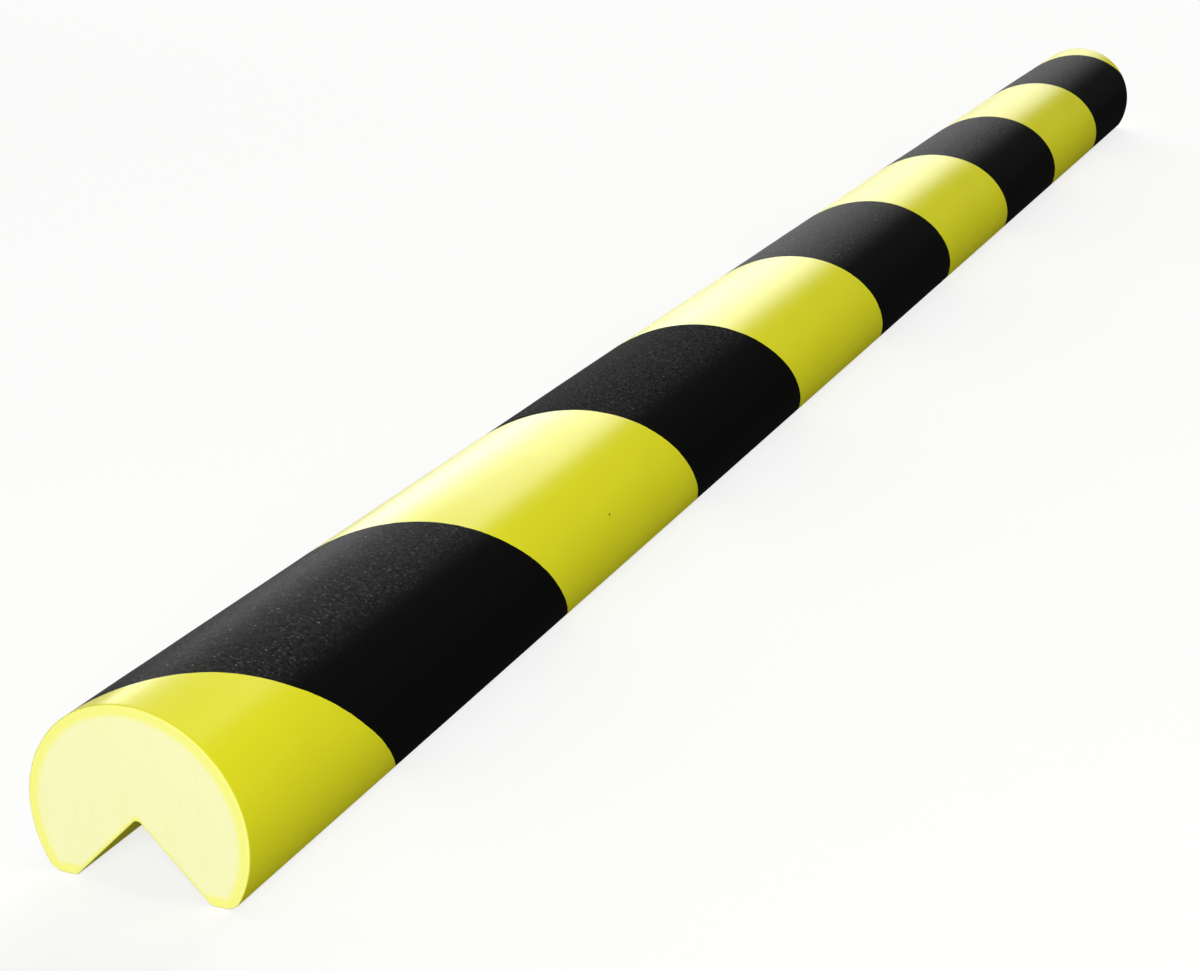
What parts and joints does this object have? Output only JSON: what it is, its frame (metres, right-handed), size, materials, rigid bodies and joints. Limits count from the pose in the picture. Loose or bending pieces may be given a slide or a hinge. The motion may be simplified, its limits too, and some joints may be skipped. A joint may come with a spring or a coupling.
{
  "type": "foam corner guard",
  "caption": "Round-backed bar of soft foam with a V notch along its length, striped yellow and black, that cushions a corner or edge.",
  "frame": {"origin": "middle of the length, midway between the two feet, on the plane that the feet stand on", "axes": "+X along the bar, away from the end that the picture shows; +Z from the feet to the crown of the round back; +Y across"},
  "size_m": [1, 0.06, 0.0469],
  "materials": {
    "foam": "flexible moulded polyurethane foam with a smooth satin skin, yellow with printed black bands, and pale foam at the cut ends"
  },
  "bodies": {
    "root": {"foam_guard": "foam"}
  },
  "joints": []
}
